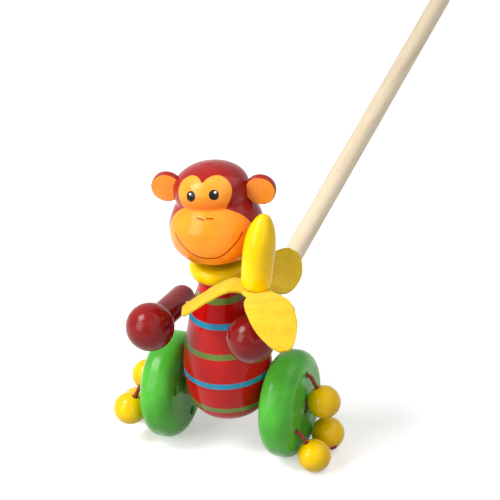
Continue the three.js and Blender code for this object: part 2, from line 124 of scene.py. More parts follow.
def centripetal(points, steps):
    """Centripetal Catmull-Rom line, as the CAD path."""
    pts = [points[0] * 2 - points[1]] + points + [points[-1] * 2 - points[-2]]
    out = []
    for i in range(1, len(pts) - 2):
        p0, p1, p2, p3 = pts[i - 1 : i + 3]
        d0, d1, d2 = ((b - a).length ** 0.5 for a, b in ((p0, p1), (p1, p2), (p2, p3)))
        t1 = ((p1 - p0) / d0 - (p2 - p0) / (d0 + d1) + (p2 - p1) / d1) * d1
        t2 = ((p2 - p1) / d1 - (p3 - p1) / (d1 + d2) + (p3 - p2) / d2) * d1
        for k in range(steps):
            out.append(hermite(p1, p2, t1, t2, k / steps))
    out.append(pts[-2])
    return out


def arc(centre, radius, start, end, steps):
    """Points of a circle as (radius, height) pairs; angles in degrees from +r towards +height."""
    angles = [radians(start + (end - start) * i / steps) for i in range(steps + 1)]
    return [(centre[0] + radius * cos(angle), centre[1] + radius * sin(angle)) for angle in angles]


def eased(pairs, at, radius, steps=5):
    """The same line with the corner at one index rounded off."""
    corner = Vector(pairs[at])
    into = (Vector(pairs[at - 1]) - corner).normalized()
    out = (Vector(pairs[at + 1]) - corner).normalized()
    reach = radius / tan(into.angle(out) / 2)
    first = corner + into * reach
    second = corner + out * reach
    rounded = [tuple(bent(first, corner, second, i / steps)) for i in range(steps + 1)]
    return pairs[:at] + rounded + pairs[at + 1 :]


def distance_along(line):
    """The distance of each point of a line from its start."""
    return np.concatenate([[0], np.cumsum(np.linalg.norm(np.diff(line, axis=0), axis=1))])


def at_distance(line, along, at):
    """The point, or points, at a distance from the start of a line."""
    return np.stack([np.interp(at, along, line[:, k]) for k in range(3)], -1)


# Meshes
def new_object(name, vertices, faces):
    mesh = bpy.data.meshes.new(name)
    mesh.from_pydata([tuple(v) for v in vertices], [], faces)
    mesh.validate()
    mesh.update()
    mesh.shade_smooth()
    return in_scene(name, mesh)


def outward(thing):
    """Turns all faces of a closed mesh outwards."""
    work = bmesh.new()
    work.from_mesh(thing.data)
    bmesh.ops.recalc_face_normals(work, faces=work.faces)
    work.to_mesh(thing.data)
    work.free()
    return thing


def crisp(thing, angle):
    """Keeps the edges above an angle sharp."""
    thing.data.set_sharp_from_angle(angle=radians(angle))
    return thing


def vertex_values(thing, what="co"):
    """The vertices' places or normals as rows of three."""
    values = np.zeros(len(thing.data.vertices) * 3)
    thing.data.vertices.foreach_get(what, values)
    return values.reshape(-1, 3)


def layout_points(thing):
    """The vertices' places in the toy's layout, in millimetres."""
    return vertex_values(thing) / MM + np.array(KNOB)


def add_field(thing, name, values):
    """Stores one number on every vertex, for a material to read."""
    layer = thing.data.attributes.new(name, "FLOAT", "POINT")
    layer.data.foreach_set("value", np.asarray(values, np.float32))


def on_axis(point, direction):
    """Places +Z along a direction at a point of the layout."""
    turn = Vector((0, 0, 1)).rotation_difference(Vector(direction).normalized())
    return Matrix.Translation(Vector(point)) @ turn.to_matrix().to_4x4()


def spin(angle, axis):
    return Matrix.Rotation(radians(angle), 4, axis)


def solid(name, vertices, faces, place=TO_ROW):
    """A closed mesh from points in millimetres."""
    return outward(new_object(name, [place @ Vector(v) for v in vertices], faces))


def skin(rows, around):
    """Faces between neighbouring rows of points; a row of one point is the tip of an end."""
    faces = []
    for a, b in zip(rows, rows[1:]):
        for k in range(around):
            n = (k + 1) % around
            corners = (a[k % len(a)], b[k % len(b)], b[n % len(b)], a[n % len(a)])
            face = tuple(dict.fromkeys(corners))
            if len(face) > 2:
                faces.append(face)
    return faces


def full_rows(count, around):
    return [range(i * around, (i + 1) * around) for i in range(count)]


def revolve(name, pairs, sides, place=Matrix.Identity(4), closed=False):
    """A solid turned about Z from (radius, height) pairs, then put in place."""
    rows = []
    vertices = []
    for r, h in pairs:
        r = 0 if r < 1e-6 else r
        count = sides if r else 1
        rows.append(range(len(vertices), len(vertices) + count))
        for k in range(count):
            angle = 2 * pi * k / sides
            vertices.append((r * cos(angle), r * sin(angle), h))
    if closed:
        rows.append(rows[0])
    return solid(name, vertices, skin(rows, sides), TO_ROW @ place)


def swept(name, line, radius_at, around, caps=True):
    """A tube along a line; radius_at(angle, distance) gives its surface."""
    line = np.asarray(line, float)
    tangent = np.gradient(line, axis=0)
    tangent /= np.linalg.norm(tangent, axis=1)[:, None]
    first = np.cross(tangent[0], [0, 0, 1.0])
    normal = first / np.linalg.norm(first)
    along = 0.0
    vertices = []
    for i, point in enumerate(line):
        if i:
            normal = normal - tangent[i] * (normal @ tangent[i])
            normal /= np.linalg.norm(normal)
            along += np.linalg.norm(line[i] - line[i - 1])
        side = np.cross(tangent[i], normal)
        for k in range(around):
            angle = 2 * pi * k / around
            r = radius_at(angle, along)
            vertices.append(point + normal * (r * cos(angle)) + side * (r * sin(angle)))
    rows = full_rows(len(line), around)
    if caps:
        rows = [[len(vertices)], *rows, [len(vertices) + 1]]
        vertices += [line[0], line[-1]]
    return solid(name, vertices, skin(rows, around))


def apply_modifiers(thing):
    graph = bpy.context.evaluated_depsgraph_get()
    mesh = bpy.data.meshes.new_from_object(thing.evaluated_get(graph))
    thing.modifiers.clear()
    thing.data = mesh


def cut(thing, cutters):
    """Takes the cutters out of a solid and removes them."""
    for cutter in cutters:
        step = thing.modifiers.new("cut", "BOOLEAN")
        set_up(step, operation="DIFFERENCE", solver="EXACT", object=cutter)
    apply_modifiers(thing)
    for cutter in cutters:
        bpy.data.objects.remove(cutter)


# Materials
def linear(colour):
    """Linear colour from 0-255 sRGB numbers."""
    shares = [c / 255 for c in colour]
    return (*(c / 12.92 if c <= 0.04045 else ((c + 0.055) / 1.055) ** 2.4 for c in shares), 1.0)


def shaded(colour, share):
    """A linear colour made darker or lighter."""
    return (*(min(1.0, c * share) for c in colour[:3]), 1.0)


class Nodes:
    """A node tree with short ways to add to it."""

    def __init__(self, owner):
        owner.use_nodes = True
        self.owner = owner
        self.tree = owner.node_tree
        self.tree.nodes.clear()

    def fill(self, node, values):
        """Links sockets to a node's inputs, or sets the inputs to constants."""
        for key, value in values.items():
            if isinstance(value, bpy.types.NodeSocket):
                self.tree.links.new(value, node.inputs[key])
            else:
                node.inputs[key].default_value = value

    def add(self, kind, values=None, **settings):
        node = set_up(self.tree.nodes.new(kind), **settings)
        self.fill(node, values or {})
        return node

    def coordinates(self):
        return self.add("ShaderNodeTexCoord").outputs["Object"]

    def math(self, operation, *values):
        return self.add("ShaderNodeMath", dict(enumerate(values)), operation=operation).outputs[0]

    def spread(self, value, low, high, to_low, to_high, kind="SMOOTHSTEP"):
        """A value carried from one range to another."""
        values = {"Value": value, "From Min": low, "From Max": high, "To Min": to_low, "To Max": to_high}
        return self.add("ShaderNodeMapRange", values, interpolation_type=kind).outputs[0]


class Looks(Nodes):
    """The material of a piece."""

    def __init__(self, name):
        super().__init__(bpy.data.materials.new(name))
        self.shader = self.add("ShaderNodeBsdfPrincipled")
        self.add("ShaderNodeOutputMaterial", {0: self.shader.outputs[0]})
        self.place = self.coordinates()

    def surface(self, values):
        self.fill(self.shader, values)

    def moved(self, rotation, scale):
        """The object's coordinates, turned by degrees and scaled."""
        turn = [radians(a) for a in rotation]
        values = {"Vector": self.place, "Rotation": turn, "Scale": scale}
        return self.add("ShaderNodeMapping", values).outputs[0]

    def noise(self, scale, detail=3.0, rough=0.55, source=None, distortion=0.0):
        values = {"Vector": source or self.place, "Scale": scale, "Detail": detail}
        values |= {"Roughness": rough, "Distortion": distortion}
        return self.add("ShaderNodeTexNoise", values).outputs["Fac"]

    def clouds(self, scale, detail=2.0, rough=0.55, least=0.0, most=1.0):
        """Soft patches between two values."""
        return self.spread(self.noise(scale, detail, rough), 0.3, 0.7, least, most)

    def field(self, name):
        return self.add("ShaderNodeAttribute", attribute_name=name).outputs["Fac"]

    def within(self, value, level, fade, most=1.0):
        """A mask of what lies under a level, with a soft edge."""
        return self.spread(value, level - fade, level + fade, most, 0.0)

    def blend(self, factor, a, b):
        return self.add("ShaderNodeMix", {0: factor, 6: a, 7: b}, data_type="RGBA").outputs[2]

    def bump(self, height, strength, distance, under=None):
        values = {"Height": height, "Strength": strength, "Distance": distance}
        if under is not None:
            values["Normal"] = under
        return self.add("ShaderNodeBump", values).outputs[0]

    def raised(self, mask, strength, distance):
        """Lifts a layer of paint above the relief that is there."""
        under = self.shader.inputs["Normal"].links[0].from_socket
        self.surface({"Normal": self.bump(mask, strength, distance, under)})


# Scales that stretch the grain under paint along one axis
PAINTED_GRAIN_X = (14.0, 260.0, 260.0)
PAINTED_GRAIN_Y = (260.0, 14.0, 260.0)
PAINTED_GRAIN_Z = (260.0, 260.0, 14.0)
PAINT_SPECULAR = 0.18
# Half the width over which a painted edge fades
PAINT_EDGE = 0.12


def painted(name, colour, dark=0.86, light=1.06, gloss=(0.12, 0.22), grain=PAINTED_GRAIN_Z):
    """Sprayed gloss paint on turned wood. Returns the nodes and the varied colour's socket."""
    n = Looks(name)
    wood = n.noise(1.0, 4.0, 0.6, n.moved((0, 0, 0), grain))
    orange_skin = n.noise(700.0, 2.0, 0.5)
    deep = shaded(linear(colour), dark)
    tint = n.blend(n.clouds(55.0, 2.0, 0.5), deep, shaded(linear(colour), light))
    tint = n.blend(n.spread(wood, 0.52, 0.75, 0.0, 0.22), tint, deep)
    relief = n.bump(wood, 0.05, 0.0005, n.bump(orange_skin, 0.06, 0.0004))
    roughness = n.clouds(90.0, 3.0, least=gloss[0], most=gloss[1])
    n.surface({"Base Color": tint, "Roughness": roughness, "Normal": relief})
    n.surface({"Specular IOR Level": PAINT_SPECULAR})
    return n, tint


def dress(thing, looks, body, replaced):
    """Gives a piece its material, its body and the CAD nodes that it stands for."""
    thing.data.materials.clear()
    thing.data.materials.append(looks.owner)
    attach(thing, body)
    if replaced:
        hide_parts(*replaced)


# Colours
RED = (206, 20, 16)
BARK = (160, 27, 24)
HAND = (134, 20, 20)
PATCH_ORANGE = (255, 150, 40)
PATCH_PALE = (255, 164, 58)
# Painted shade: the patch's darker orange near the crease above the muzzle
PATCH_CREASE_SHADE = (250, 128, 20)
MUZZLE_ORANGE = (255, 146, 30)
MUZZLE_PALE = (255, 158, 44)
EAR_ORANGE = (252, 146, 42)
EAR_PALE = (255, 164, 60)
YELLOW = (255, 216, 0)
GREEN = (82, 182, 56)
STRIPE_GREEN = (112, 140, 60)
STRIPE_BLUE = (44, 150, 190)
BEAD = (253, 202, 0)
BANANA = (252, 205, 0)
FELT = (232, 187, 28)
FELT_PALE = (242, 204, 44)
# Pale felt strands: fibre texture with painted highlights on loose hairs
FELT_HAIR_HIGHLIGHT = (255, 226, 92)
FELT_DEEP = (224, 176, 20)
FELT_SHEEN = (255, 232, 120)
CORD = (124, 18, 20)
CORD_PALE = (196, 60, 48)
CORD_DEEP = (74, 10, 12)
WOOD = (226, 208, 178)
BARE_WOOD = (222, 196, 150)
# Darker wood for the axle: painted shade for where it lies in shadow between the body and the wheels
SHADED_AXLE_WOOD = (172, 138, 96)
EYE = (14, 10, 9)
LIP = (176, 26, 8)
NOSTRIL_BROWN = (120, 60, 24)
WHITE = (255, 255, 255)

# Wheels, cords and beads, as in the CAD source
WHEEL_RADIUS = 30.3
WHEEL_HALF = 9.8
WHEEL_EDGE = 8.5
WHEEL_X = 35.4
AXLE_RADIUS = 4.5
AXLE_CLEARANCE = 0.15
AXLE_END_X = 44.0
TETHER_CIRCLE = 18.4
HOLE_APART = 120
HOLE_NARROW = 1.7
HOLE_WIDE = 2.5
NARROW_DEPTH = 4.5
CORD_RADIUS = 1.15
INNER_KNOT = 2.1
END_KNOT = 2.2
KNOT_STANDOFF = 0.15
CORD_LEG = 2.2
FREE_LENGTH = 10.6
BEAD_RADIUS = 9.3
BEAD_HOLE = 1.6
BEAD_SEAT = 2.5
SUNK = 4.6
PROUD = 3.4
SEAT_GAP = 0.3
# Each side: its sign along X, the turn of its first hole, and where each bead rests from its hole
# along Y, along Z and outwards, with the depth of the seat for the knot
SIDES = {
    "left": (1, -11, [(-0.8, -15.6, 0, SUNK), (0.8, -14.6, 0, SUNK), (-8, -8.8, 0, PROUD)]),
    "right": (-1, 66, [(-1, -16.4, 0, SUNK), (1.4, -2.5, 6, SUNK), (-5.6, -14.7, 0, SUNK)]),
}


# Cords and their beads
def hole_mouth(side, turn):
    """The middle of a tether hole's mouth on the outer face of its wheel."""
    angle = radians(turn)
    y = -TETHER_CIRCLE * sin(angle)
    z = WHEEL_RADIUS + TETHER_CIRCLE * cos(angle)
    return Vector((side * (WHEEL_X + WHEEL_HALF), y, z))


def tether_route(side, turn, along_y, along_z, outwards, seat):
    """The tether's legs and its bend, from the knot in the wheel to the knot under the bead."""
    mouth = hole_mouth(side, turn)
    out = Vector((side, 0, 0))
    bead = mouth + Vector((side * (BEAD_RADIUS + SEAT_GAP + outwards), along_y, along_z))
    corner = mouth + out * CORD_LEG
    to_bead = (bead - corner).normalized()
    bend_end = corner + to_bead * CORD_LEG
    slack = FREE_LENGTH - ((bead - mouth).length - BEAD_RADIUS)
    inner = mouth - out * (NARROW_DEPTH + INNER_KNOT + KNOT_STANDOFF + slack)
    end = bead + to_bead * (BEAD_RADIUS - seat + END_KNOT + KNOT_STANDOFF)
    return (inner, mouth, corner, bend_end, end), bead, to_bead


INNER_SAMPLES, BEND_SAMPLES, OUTER_SAMPLES = 40, 24, 60
TETHER_STEP = 0.16


def tether_points(inner, mouth, corner, bend_end, end):
    """Evenly spaced points along the tether's centreline."""
    raw = [inner.lerp(mouth, i / INNER_SAMPLES) for i in range(INNER_SAMPLES)]
    raw += [bent(mouth, corner, bend_end, i / BEND_SAMPLES) for i in range(BEND_SAMPLES)]
    raw += [bend_end.lerp(end, i / OUTER_SAMPLES) for i in range(OUTER_SAMPLES + 1)]
    line = np.array([tuple(p) for p in raw])
    along = distance_along(line)
    at = np.linspace(0, along[-1], int(along[-1] / TETHER_STEP) + 1)
    return at_distance(line, along, at), along[-1]


BRAID_STRANDS = 8
BRAID_PITCH = 5.2
BRAID_RELIEF = 0.09
BRAID_VALLEY = -0.2


def braid(angle, along):
    """Radius of a round braid: two sets of strands that cross."""
    turn = 2 * pi * along / BRAID_PITCH
    one = cos(BRAID_STRANDS / 2 * (angle + turn))
    other = cos(BRAID_STRANDS / 2 * (angle - turn))
    return CORD_RADIUS * (1 - BRAID_RELIEF + BRAID_RELIEF * max(BRAID_VALLEY, one, other))


KNOT_STRAND = 0.92
KNOT_TURNS = 90
KNOT_LOBE_SHARE = 1.9
KNOT_HALF_HEIGHT = 0.8


def knot_strand(angle, along):
    """Radius of the strand that the knots are tied with."""
    return KNOT_STRAND * (1 - BRAID_RELIEF * (1 - cos(6 * angle + 5 * along)) / 2)


def knot(name, centre, direction, size):
    """A pulled-tight overhand knot about the size of the CAD ball."""
    place = on_axis(centre, direction)
    ring = (size - KNOT_STRAND) / (1 + KNOT_LOBE_SHARE)
    line = []
    for i in range(KNOT_TURNS):
        t = 2 * pi * i / KNOT_TURNS
        x = ring * (sin(t) + KNOT_LOBE_SHARE * sin(2 * t))
        y = ring * (cos(t) - KNOT_LOBE_SHARE * cos(2 * t))
        line.append(tuple(place @ Vector((x, y, -KNOT_HALF_HEIGHT * sin(3 * t)))))
    line.append(line[0])
    return swept(name, line, knot_strand, 16, caps=False)


def cord_material():
    n = Looks("red_cord")
    fibre = n.noise(5200.0, 2.0, 0.6)
    cloud = n.noise(900.0, 2.0)
    tint = n.blend(n.spread(cloud, 0.3, 0.75, 0.0, 0.6), linear(CORD), linear(CORD_PALE))
    tint = n.blend(n.spread(fibre, 0.45, 0.75, 0.0, 0.6), tint, linear(CORD_DEEP))
    n.surface({"Base Color": tint, "Normal": n.bump(fibre, 0.35, 0.0002)})
    n.surface({"Roughness": 0.55, "Sheen Weight": 0.1, "Sheen Roughness": 0.4})
    return n


BEAD_EASE = 0.35
LIP_DROP = 0.02
LIP_SHARE = 0.3
WALL_SHARE = 0.8


def bead_outline(seat):
    """Closed outline of a ball drilled through, with a wider seat for the knot and eased edges."""
    low = degrees(asin((BEAD_HOLE + BEAD_EASE) / BEAD_RADIUS))
    high = degrees(asin((BEAD_SEAT + BEAD_EASE) / BEAD_RADIUS))
    line = arc((0, 0), BEAD_RADIUS, -90 + low, 90 - high, 44)
    bottom, top = line[0][1], line[-1][1]
    floor = BEAD_RADIUS - seat
    lip, wall = BEAD_EASE * LIP_SHARE, BEAD_EASE * WALL_SHARE
    line += [(BEAD_SEAT + lip, top - LIP_DROP), (BEAD_SEAT, top - wall)]
    line += [(BEAD_SEAT, floor), (BEAD_HOLE, floor)]
    return line + [(BEAD_HOLE, bottom + wall), (BEAD_HOLE + lip, bottom + LIP_DROP)]


def make_cords():
    red = cord_material()
    yellow, _ = painted("bead_paint", BEAD)
    for side_name, (side, phase, rests) in SIDES.items():
        for i, (along_y, along_z, outwards, seat) in enumerate(rests):
            label = f"{side_name}_{i + 1}"
            body = f"bead_{label}"
            turn = phase + HOLE_APART * i
            route, bead, to_bead = tether_route(side, turn, along_y, along_z, outwards, seat)
            inner, mouth, *_, end = route
            line, length = tether_points(*route)
            tether = swept(f"cord_{label}", line, braid, 32)
            low_knot = knot(f"end_knot_{label}", end, to_bead, END_KNOT)
            high_knot = knot(f"inner_knot_{label}", inner, (side, 0, 0), INNER_KNOT)
            dress(tether, red, body, [f"tether_{label}"])
            dress(low_knot, red, body, [])
            dress(high_knot, red, body, [])
            place = on_axis(bead, to_bead)
            ball = revolve(f"wooden_{body}", bead_outline(seat), 80, place, closed=True)
            dress(crisp(ball, 40), yellow, body, [body])


make_cords()

# Body with its painted stripes
BODY_OUTLINE = [
    (11.7, 22.4), (16.3, 24), (20.1, 27.6), (22.5, 33), (24.1, 41), (24.8, 51), (24, 60),
    (22.4, 69), (20.5, 78), (18.2, 87), (15.4, 95), (13.3, 101.5), (11.2, 109),
]
BODY_FLAT = 6
BODY_TOP_EASE = 0.8
BODY_FOOT_EASE = 0.9
STRIPE_WIDTH = 3.4
STRIPE_WOBBLE = 0.35
STRIPES = [
    (99.5, STRIPE_GREEN), (86.0, STRIPE_BLUE), (68.8, STRIPE_GREEN), (51.1, STRIPE_BLUE),
    (33.7, STRIPE_GREEN),
]


def make_body():
    line = smooth_line(BODY_OUTLINE, 120)
    foot, top = line[0][1], line[-1][1]
    line = [(0, foot), (BODY_FLAT, foot)] + line + [(BODY_FLAT, top), (0, top)]
    line = eased(line, len(line) - 3, BODY_TOP_EASE)
    line = eased(line, 2, BODY_FOOT_EASE)
    thing = crisp(revolve("painted_body", line, 160), 50)
    n, tint = painted("red_paint", RED, dark=0.88)
    split = n.add("ShaderNodeSeparateXYZ", {0: n.place})
    height = n.math("MULTIPLY_ADD", split.outputs[2], 1 / MM, KNOB.z)
    wobble = n.spread(n.noise(70.0, 2.0), 0.0, 1.0, -STRIPE_WOBBLE, STRIPE_WOBBLE, "LINEAR")
    height = n.math("ADD", height, wobble)
    cloud = n.spread(n.noise(120.0, 2.0), 0.35, 0.7, 0.0, 1.0)
    stripes = 0.0
    for centre, colour in STRIPES:
        away = n.math("ABSOLUTE", n.math("SUBTRACT", height, centre))
        mask = n.within(away, STRIPE_WIDTH / 2, PAINT_EDGE)
        base = linear(colour)
        tint = n.blend(mask, tint, n.blend(cloud, base, shaded(base, 1.25)))
        stripes = n.math("MAXIMUM", stripes, mask)
    n.surface({"Base Color": tint})
    n.raised(stripes, 0.35, 0.00006)
    dress(thing, n, "monkey", ["body"])


make_body()

# Neck ring
COLLAR_BORE = 4.15
COLLAR_RADIUS = 16.7
COLLAR_LOW = 109.3
COLLAR_HIGH = 118.7
COLLAR_EDGE = 4.3


def make_collar():
    flat = COLLAR_RADIUS - COLLAR_EDGE
    line = [(COLLAR_BORE, COLLAR_LOW), (flat, COLLAR_LOW)]
    line += arc((flat, COLLAR_LOW + COLLAR_EDGE), COLLAR_EDGE, -90, 0, 14)
    line += arc((flat, COLLAR_HIGH - COLLAR_EDGE), COLLAR_EDGE, 0, 90, 14)
    line += [(COLLAR_BORE, COLLAR_HIGH)]
    thing = crisp(revolve("painted_collar", line, 128, closed=True), 50)
    n, _ = painted("collar_paint", YELLOW)
    dress(thing, n, "monkey", ["neck_collar"])


make_collar()

# Head with its painted face
# The pear shape along its own axis, which leans to the side and back through a point above the neck
HEAD_SEAT = 119.0
HEAD_PIVOT = 142.3
HEAD_LEAN_SIDE = 6.4
HEAD_LEAN_BACK = 6.6
HEAD_OUTLINE = [
    (7, 0), (11.4, 2), (17.1, 5), (21.6, 8.9), (24.5, 13.7), (25.5, 19.3), (25.2, 25.2),
    (23.3, 30.4), (21.3, 34.3), (19.9, 37.3), (20.5, 41.2), (20.1, 46), (17.5, 50.4),
    (13, 53.7), (7.5, 55.8), (2.6, 56.7), (0, 57.1),
]
HEAD_TURN = 10.9
TURNED = spin(HEAD_TURN, "Z")
# The face is laid out on a plane that looks up at this angle, in millimetres across and up
FACE_TILT = 31.0
PATCH = [
    (-2.9, 141.4), (-0.7, 143.7), (1.6, 145.1), (4.4, 145.8), (7.4, 145.1), (10.1, 143.1),
    (12, 140.1), (12.5, 137.1), (12, 134.1), (10.9, 131.6), (9.4, 128.8), (5, 124.5),
    (-8, 124.5), (-13.2, 128.1), (-15.2, 131), (-16.1, 133.8), (-16.4, 136.8),
    (-15.9, 139.9), (-14.5, 142.4), (-12.2, 144.3), (-9.6, 145.3), (-6.8, 144.8), (-4.9, 143.6),
]
MUZZLE = [
    (-13.2, 128), (-7.2, 127.1), (-1.2, 126.9), (5.3, 127.5), (9.1, 128.2), (12.5, 127.4),
    (15.9, 126.1), (19, 124.2), (21.1, 122), (23.6, 118.4), (27, 114), (26, 109),
    (21.6, 107.4), (20, 104.9), (18, 103.2), (15.6, 102), (13, 100.9), (8.3, 99.5),
    (3.2, 98.6), (-1.9, 98.5), (-7.1, 99.4), (-12, 100.6), (-16, 102.1), (-19, 104.2),
    (-21, 106.7), (-25, 109), (-27, 113), (-25.5, 116), (-23.2, 118.5),
    (-22.2, 121), (-20.6, 123.6), (-17.6, 126.2),
]
# How far back the muzzle's paint reaches at the sides: least at this height, less above and below
MUZZLE_BACK = 1.0
MUZZLE_BACK_Z = 136.0
MUZZLE_BACK_CURVE = 0.1
MUZZLE_BACK_MOST = 8.0
MUZZLE_SIDE_SHARE = 0.6
# Behind this depth the face's distances grow so far that nothing of it is painted there
FACE_BACK = 1.0
BEHIND = 50.0
EYES = [(-8.6, 134.2, 2.55, 2.85), (3.75, 135.3, 2.6, 2.75)]
GLINTS = [(-9.1, 135.35, 0.62, 0.62), (4.4, 136.7, 0.65, 0.65)]
EYE_EDGE = 0.1
GLINT_EDGE = 0.2
NOSTRIL_DARK = [(-5.4, 122.8), (-3.65, 122.5), (-1.9, 121.9)]
NOSTRIL_RED = [(-0.35, 122.75), (1.45, 122.8), (3.1, 122.75)]
NOSTRIL_HALF_WIDTH = 0.46
SMILE = [
    (-18.6, 115), (-16.8, 111.5), (-14, 108.1), (-10.2, 104.9), (-5.9, 102.8), (-0.7, 101.8),
    (2.85, 102), (6.4, 103), (10.5, 105.9), (13.5, 109.1), (15.9, 112.2), (17.7, 115.8),
    (18.2, 116.6),
]
SMILE_HALF_WIDTH = 0.33
# Heights on the face between which painted shade deepens the patch towards the crease above the muzzle
CREASE_LOW = 128.0
CREASE_HIGH = 136.0


def segment_distance(points, start, end):
    """Distance of each point to a straight line between two points."""
    edge = end - start
    t = np.clip((points - start) @ edge / (edge @ edge), 0, 1)
    return np.linalg.norm(points - start - t[:, None] * edge, axis=1)


def line_distance(points, line):
    """Distance of each point to an open line."""
    line = np.array(line, float)
    return np.min([segment_distance(points, p, q) for p, q in zip(line, line[1:])], axis=0)


def inside_distance(points, loop):
    """Signed distance of each point to a closed line, negative inside."""
    best = np.full(len(points), np.inf)
    crossing = np.zeros(len(points), int)
    for p, q in zip(loop, np.roll(loop, -1, axis=0)):
        best = np.minimum(best, segment_distance(points, p, q))
        spans = (p[1] > points[:, 1]) != (q[1] > points[:, 1])
        height = q[1] - p[1] if abs(q[1] - p[1]) > 1e-12 else 1e-12
        where = p[0] + (points[:, 1] - p[1]) / height * (q[0] - p[0])
        crossing += spans & (points[:, 0] < where)
    return np.where(crossing % 2 == 1, -best, best)


def oval_distance(points, x, y, half_width, half_height):
    """About the signed distance to an oval, negative inside."""
    size = (half_width, half_height)
    return (np.linalg.norm((points - (x, y)) / size, axis=1) - 1) * min(size)


def cut_flat(thing, height):
    """Takes away what lies below a height and closes the cut."""
    work = bmesh.new()
    work.from_mesh(thing.data)
    everything = work.verts[:] + work.edges[:] + work.faces[:]
    plane = {"plane_co": TO_ROW @ Vector((0, 0, height)), "plane_no": (0, 0, -1)}
    found = bmesh.ops.bisect_plane(work, geom=everything, clear_outer=True, **plane)
    rim = [e for e in found["geom_cut"] if isinstance(e, bmesh.types.BMEdge)]
    bmesh.ops.contextual_create(work, geom=rim)
    work.to_mesh(thing.data)
    work.free()
    thing.data.shade_smooth()
    return crisp(outward(thing), 35)


def face_fields(thing):
    """Stores, on every vertex of the head, its distances to the painted shapes of the face."""
    co = layout_points(thing)
    turn = radians(HEAD_TURN)
    across = co[:, 0] * cos(turn) + co[:, 1] * sin(turn)
    back = -co[:, 0] * sin(turn) + co[:, 1] * cos(turn)
    tilt = radians(FACE_TILT)
    up = back * sin(tilt) + co[:, 2] * cos(tilt)
    flat = np.stack([across, up], 1)
    behind = np.where(back > FACE_BACK, BEHIND, 0.0)
    less = np.minimum(MUZZLE_BACK_CURVE * (co[:, 2] - MUZZLE_BACK_Z) ** 2, MUZZLE_BACK_MOST)
    side = (back + MUZZLE_BACK + less) * MUZZLE_SIDE_SHARE
    fields = {
        "patch": inside_distance(flat, rounded_loop(PATCH)) + behind,
        "muzzle": np.maximum(inside_distance(flat, rounded_loop(MUZZLE)), side),
        "eye": np.minimum(*[oval_distance(flat, *eye) for eye in EYES]) + behind,
        "glint": np.minimum(*[oval_distance(flat, *glint) for glint in GLINTS]) + behind,
        "nostril_dark": line_distance(flat, NOSTRIL_DARK) + behind,
        "nostril_red": line_distance(flat, NOSTRIL_RED) + behind,
        "smile": line_distance(flat, smooth_line(SMILE, 60)) + behind,
        "face_up": up,
    }
    for name, values in fields.items():
        add_field(thing, name, values)


def make_head():
    line = [(0, 0)] + smooth_line(HEAD_OUTLINE, 200)
    slope = Vector((-tan(radians(HEAD_LEAN_SIDE)), tan(radians(HEAD_LEAN_BACK)), 1))
    start = Vector((0, 0, HEAD_PIVOT)) + slope * (HEAD_SEAT - HEAD_PIVOT)
    thing = cut_flat(revolve("painted_head", line, 400, on_axis(start, slope)), HEAD_SEAT)
    face_fields(thing)
    n, tint = painted("brown_paint", BARK, dark=0.84)
    edge = n.spread(n.noise(240.0, 2.0), 0.0, 1.0, -0.1, 0.1, "LINEAR")
    in_patch = n.within(n.math("ADD", n.field("patch"), edge), 0.0, PAINT_EDGE)
    in_muzzle = n.within(n.math("ADD", n.field("muzzle"), edge), 0.0, PAINT_EDGE)
    cloud = n.clouds(75.0)
    # Painted shade: the patch darkens towards the crease, where the head turns in and down
    painted_crease_shade = n.spread(n.field("face_up"), CREASE_LOW, CREASE_HIGH, 1.0, 0.0)
    patch = n.blend(cloud, linear(PATCH_ORANGE), linear(PATCH_PALE))
    patch = n.blend(painted_crease_shade, patch, linear(PATCH_CREASE_SHADE))
    muzzle = n.blend(cloud, linear(MUZZLE_ORANGE), linear(MUZZLE_PALE))
    tint = n.blend(in_patch, tint, patch)
    tint = n.blend(in_muzzle, tint, muzzle)
    tint = n.blend(n.within(n.field("eye"), 0.0, EYE_EDGE), tint, linear(EYE))
    tint = n.blend(n.within(n.field("glint"), 0.0, GLINT_EDGE), tint, linear(WHITE))
    lines = (
        ("nostril_dark", NOSTRIL_HALF_WIDTH, NOSTRIL_BROWN),
        ("nostril_red", NOSTRIL_HALF_WIDTH, LIP),
        ("smile", SMILE_HALF_WIDTH, LIP),
    )
    for field, half, colour in lines:
        tint = n.blend(n.within(n.field(field), half, PAINT_EDGE, 0.92), tint, linear(colour))
    n.surface({"Base Color": tint})
    n.raised(n.math("MAXIMUM", in_patch, n.math("MULTIPLY", in_muzzle, 1.6)), 0.3, 0.00005)
    dress(thing, n, "head", ["head"])


make_head()

# Ears
EAR_CENTRE = 25.4
EAR_Z = 162.1
EAR_FRONT = -1.3
EAR_RADIUS = 8.3
EAR_THICK = 4.3
EAR_EDGE = 0.7
# The orange of the front ends at these shares of the eased edge
EAR_PAINT_WIDTH_SHARE = 0.6
EAR_PAINT_DEPTH_SHARE = 0.8


